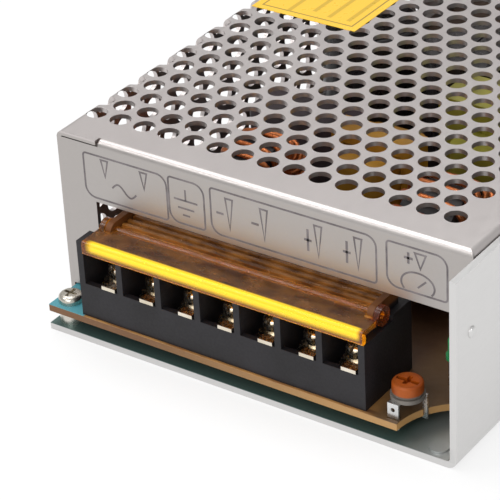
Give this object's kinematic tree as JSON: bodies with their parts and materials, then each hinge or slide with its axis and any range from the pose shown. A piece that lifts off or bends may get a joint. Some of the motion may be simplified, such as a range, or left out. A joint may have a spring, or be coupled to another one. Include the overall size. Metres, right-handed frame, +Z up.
{
  "type": "led power supply",
  "caption": "Enclosed switching power supply for light strips: folded metal base, perforated cover, screw terminal block with a hinged guard, trimmer and lamp in the open front.",
  "frame": {"origin": "middle of the footprint, on the underside of the base", "axes": "+X to the right across the front, +Y from the terminals to the back, +Z up out of the cover"},
  "size_m": [0.1, 0.199, 0.0421],
  "materials": {
    "chassis_metal": "satin rolled sheet",
    "label": "gloss coated sticker",
    "board": "bare laminate",
    "sheet": "thin insulating film",
    "screw_steel": "bright zinc plate",
    "block_plastic": "moulded black",
    "terminal_metal": "nickel plate",
    "guard_plastic": "clear amber",
    "trimmer_base": "bare",
    "leg_metal": "tinned",
    "rotor_plastic": "moulded orange",
    "lamp": "diffused lens",
    "ferrite": "sintered",
    "tape": "taped winding",
    "amber_tape": "taped winding",
    "copper": "enamelled wire",
    "can": "sleeved can",
    "box_cap": "moulded case",
    "blue_disc": "dipped",
    "fuse_glass": "clear tube",
    "package": "moulded package"
  },
  "bodies": {
    "chassis": {"base_chassis": "chassis_metal", "cover": "chassis_metal", "label_sticker": "label", "circuit_board": "board", "insulation_sheet": "sheet", "board_screw_1": "screw_steel", "board_screw_2": "screw_steel", "board_screw_3": "screw_steel", "board_screw_4": "screw_steel", "cover_screw_1": "screw_steel", "cover_screw_2": "screw_steel", "cover_screw_3": "screw_steel", "cover_screw_4": "screw_steel", "board_standoff_1": "screw_steel", "board_standoff_2": "screw_steel", "board_standoff_3": "screw_steel", "board_standoff_4": "screw_steel", "terminal_block": "block_plastic", "terminal_contacts": "terminal_metal", "guard_strip": "guard_plastic", "trimmer_disc": "trimmer_base", "trimmer_legs": "leg_metal", "indicator_leads": "leg_metal", "indicator_lens": "lamp", "main_transformer_core": "ferrite", "drive_transformer_core": "ferrite", "line_choke_core": "ferrite", "output_choke_core": "ferrite", "main_transformer_coil": "tape", "drive_transformer_coil": "amber_tape", "line_choke_coil": "copper", "output_choke_coil": "copper", "bulk_capacitor_1": "can", "bulk_capacitor_2": "can", "output_capacitor_1": "can", "output_capacitor_2": "can", "output_capacitor_3": "can", "line_capacitor": "box_cap", "safety_capacitor": "blue_disc", "fuse": "fuse_glass", "bridge_rectifier": "package", "control_chip": "package"},
    "flap": {"terminal_flap": "guard_plastic"},
    "trimmer": {"trimmer_rotor": "rotor_plastic"},
    "clamp_1": {"terminal_screw_1": "terminal_metal", "clamp_plate_1": "terminal_metal"},
    "clamp_2": {"terminal_screw_2": "terminal_metal", "clamp_plate_2": "terminal_metal"},
    "clamp_3": {"terminal_screw_3": "terminal_metal", "clamp_plate_3": "terminal_metal"},
    "clamp_4": {"terminal_screw_4": "terminal_metal", "clamp_plate_4": "terminal_metal"},
    "clamp_5": {"terminal_screw_5": "terminal_metal", "clamp_plate_5": "terminal_metal"},
    "clamp_6": {"terminal_screw_6": "terminal_metal", "clamp_plate_6": "terminal_metal"},
    "clamp_7": {"terminal_screw_7": "terminal_metal", "clamp_plate_7": "terminal_metal"}
  },
  "joints": [
    {"name": "flap_hinge", "type": "hinge", "parent": "chassis", "child": "flap", "pos_m": [0, -0.0916, 0.0234], "axis": [-1, 0, 0], "range_deg": [0, 90]},
    {"name": "trimmer_turn", "type": "hinge", "parent": "chassis", "child": "trimmer", "pos_m": [0.0355, -0.0945, 0.01], "axis": [0, 0, 1], "range_deg": [-105, 105]},
    {"name": "clamp_lift_1", "type": "slide", "parent": "chassis", "child": "clamp_1", "axis": [0, 0, 1], "range_m": [0, 0.0025]},
    {"name": "clamp_lift_2", "type": "slide", "parent": "chassis", "child": "clamp_2", "axis": [0, 0, 1], "range_m": [0, 0.0025]},
    {"name": "clamp_lift_3", "type": "slide", "parent": "chassis", "child": "clamp_3", "axis": [0, 0, 1], "range_m": [0, 0.0025]},
    {"name": "clamp_lift_4", "type": "slide", "parent": "chassis", "child": "clamp_4", "axis": [0, 0, 1], "range_m": [0, 0.0025]},
    {"name": "clamp_lift_5", "type": "slide", "parent": "chassis", "child": "clamp_5", "axis": [0, 0, 1], "range_m": [0, 0.0025]},
    {"name": "clamp_lift_6", "type": "slide", "parent": "chassis", "child": "clamp_6", "axis": [0, 0, 1], "range_m": [0, 0.0025]},
    {"name": "clamp_lift_7", "type": "slide", "parent": "chassis", "child": "clamp_7", "axis": [0, 0, 1], "range_m": [0, 0.0025]}
  ]
}
